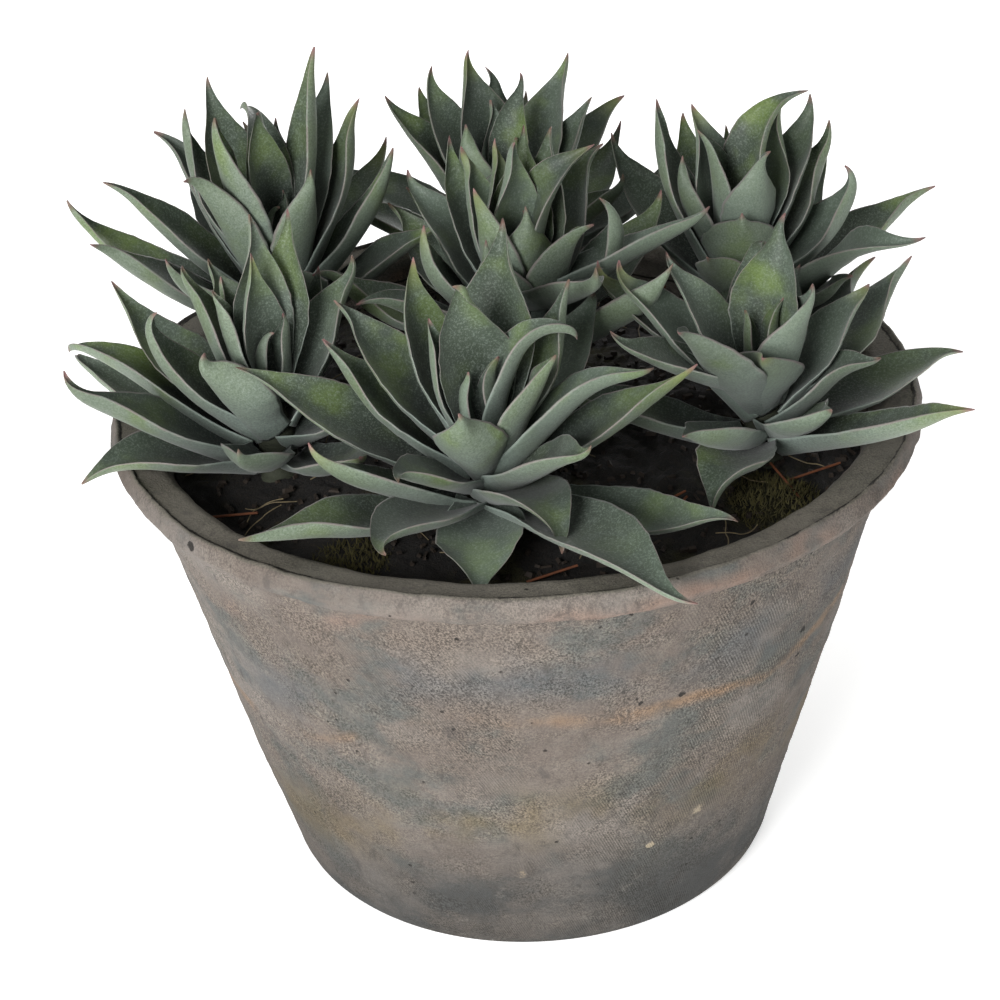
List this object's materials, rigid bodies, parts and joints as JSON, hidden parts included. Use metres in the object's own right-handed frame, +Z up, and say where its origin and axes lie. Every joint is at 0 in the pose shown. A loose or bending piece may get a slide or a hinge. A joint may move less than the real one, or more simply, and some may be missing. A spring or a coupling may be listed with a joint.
{
  "type": "potted houseleek",
  "caption": "Ring of grey-green houseleek rosettes with long pointed leaves, planted in soil in an aged round clay pot with a rolled rim.",
  "frame": {"origin": "centre of the pot's flat underside", "axes": "+Z up along the pot's axis; -Y is the front, the side with the lowest and widest rosette; +X to the right"},
  "size_m": [0.3826, 0.3829, 0.3425],
  "materials": {
    "clay": "aged unglazed clay, matte, with lime bloom, scratches and pits",
    "soil": "damp dark potting soil, rough",
    "moss": "low moss cushion",
    "leaf": "waxy grey-green leaf, matte, darker and bluer towards the base, with thin purple edges"
  },
  "bodies": {
    "root": {"pot": "clay", "soil": "soil", "moss_1": "moss", "moss_2": "moss", "crown_front": "leaf", "leaf_front_1": "leaf", "leaf_front_2": "leaf", "leaf_front_3": "leaf", "leaf_front_4": "leaf", "leaf_front_5": "leaf", "leaf_front_6": "leaf", "crown_right": "leaf", "leaf_right_1": "leaf", "leaf_right_2": "leaf", "leaf_right_3": "leaf", "leaf_right_4": "leaf", "leaf_right_5": "leaf", "leaf_right_6": "leaf", "crown_back_right": "leaf", "leaf_back_right_1": "leaf", "leaf_back_right_2": "leaf", "leaf_back_right_3": "leaf", "leaf_back_right_4": "leaf", "leaf_back_right_5": "leaf", "leaf_back_right_6": "leaf", "crown_back": "leaf", "leaf_back_1": "leaf", "leaf_back_2": "leaf", "leaf_back_3": "leaf", "leaf_back_4": "leaf", "leaf_back_5": "leaf", "leaf_back_6": "leaf", "crown_back_left": "leaf", "leaf_back_left_1": "leaf", "leaf_back_left_2": "leaf", "leaf_back_left_3": "leaf", "leaf_back_left_4": "leaf", "leaf_back_left_5": "leaf", "leaf_back_left_6": "leaf", "crown_left": "leaf", "leaf_left_1": "leaf", "leaf_left_2": "leaf", "leaf_left_3": "leaf", "leaf_left_4": "leaf", "leaf_left_5": "leaf", "leaf_left_6": "leaf", "crown_middle": "leaf", "leaf_middle_1": "leaf", "leaf_middle_2": "leaf", "leaf_middle_3": "leaf", "leaf_middle_4": "leaf", "leaf_middle_5": "leaf", "leaf_middle_6": "leaf"}
  },
  "joints": []
}
